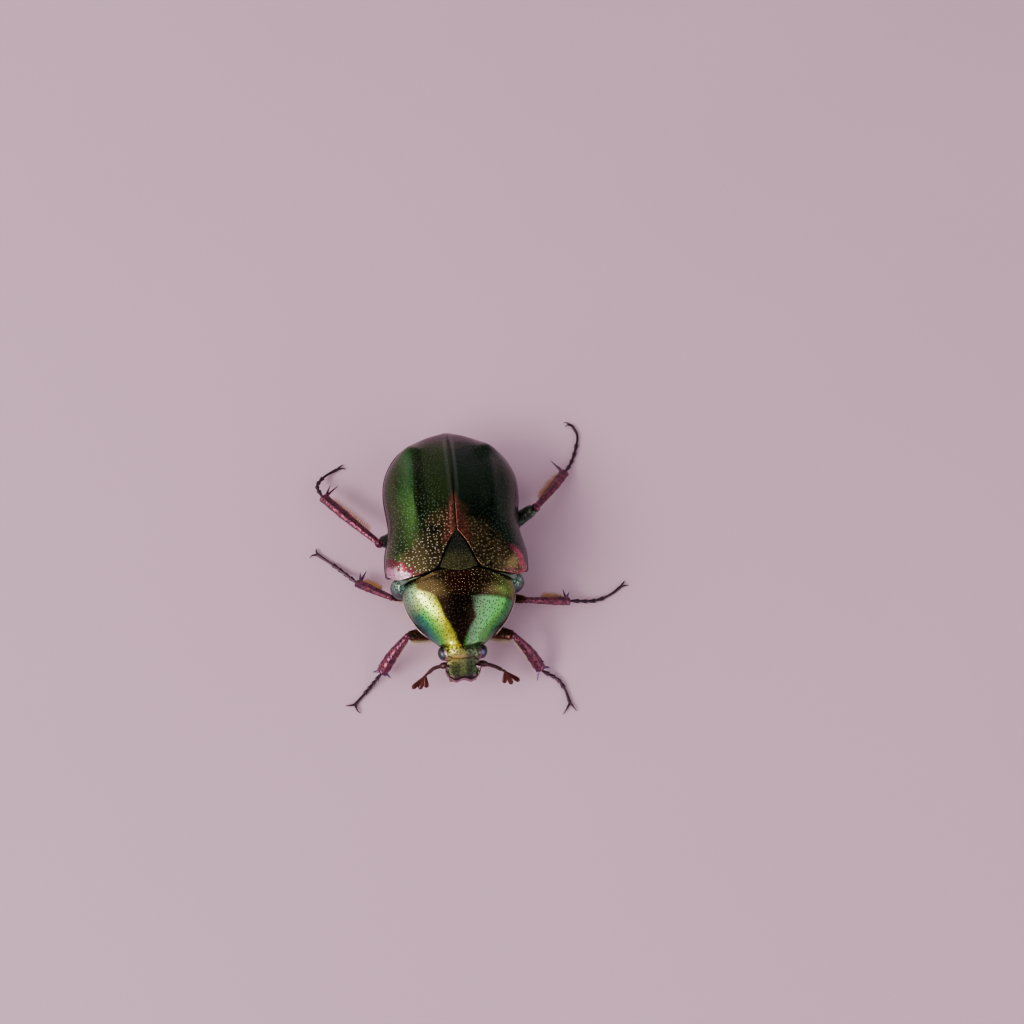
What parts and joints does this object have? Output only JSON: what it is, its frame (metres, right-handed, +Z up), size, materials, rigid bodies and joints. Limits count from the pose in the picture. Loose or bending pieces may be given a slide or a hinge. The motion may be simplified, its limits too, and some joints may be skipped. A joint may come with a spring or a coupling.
{
  "type": "flower chafer beetle",
  "caption": "Life-size still model of a metallic green flower chafer, standing with wing cases closed, legs and fanned feelers spread.",
  "frame": {"origin": "on the floor, under the middle of the box round the beetle with its legs", "axes": "+Z up, +Y towards the tip of the wing cases, so the head points to -Y, +X to the beetle's left"},
  "size_m": [0.0306, 0.0312, 0.0094],
  "materials": {
    "wing_case": "metallic green with copper shoulders, finely punctured, glossy",
    "pronotum_shell": "metallic gold-green turning copper and blue, glossy",
    "scutellum_shell": "metallic olive-gold, glossy",
    "head_shell": "metallic gold-green, densely punctured",
    "underside": "metallic dark green, sparse pale hair",
    "leg_shell": "metallic copper-red with blue tinge",
    "foot_shell": "dark purple-brown chitin",
    "feeler": "mahogany brown chitin",
    "eye": "black, very glossy"
  },
  "bodies": {
    "root": {"abdomen": "underside", "antenna_club_left": "feeler", "antenna_club_right": "feeler", "antenna_left": "feeler", "antenna_right": "feeler", "claws_fore_left": "foot_shell", "claws_fore_right": "foot_shell", "claws_hind_left": "foot_shell", "claws_hind_right": "foot_shell", "claws_mid_left": "foot_shell", "claws_mid_right": "foot_shell", "coxa_fore_left": "underside", "coxa_fore_right": "underside", "coxa_hind_left": "underside", "coxa_hind_right": "underside", "coxa_mid_left": "underside", "coxa_mid_right": "underside", "elytron_left": "wing_case", "elytron_right": "wing_case", "eye_left": "eye", "eye_right": "eye", "femur_fore_left": "leg_shell", "femur_fore_right": "leg_shell", "femur_hind_left": "leg_shell", "femur_hind_right": "leg_shell", "femur_mid_left": "leg_shell", "femur_mid_right": "leg_shell", "head": "head_shell", "mouthparts": "feeler", "pronotum": "pronotum_shell", "pygidium": "underside", "scutellum": "scutellum_shell", "tarsus_fore_left": "foot_shell", "tarsus_fore_right": "foot_shell", "tarsus_hind_left": "foot_shell", "tarsus_hind_right": "foot_shell", "tarsus_mid_left": "foot_shell", "tarsus_mid_right": "foot_shell", "thorax": "underside", "tibia_fore_left": "leg_shell", "tibia_fore_right": "leg_shell", "tibia_hind_left": "leg_shell", "tibia_hind_right": "leg_shell", "tibia_mid_left": "leg_shell", "tibia_mid_right": "leg_shell"}
  },
  "joints": []
}
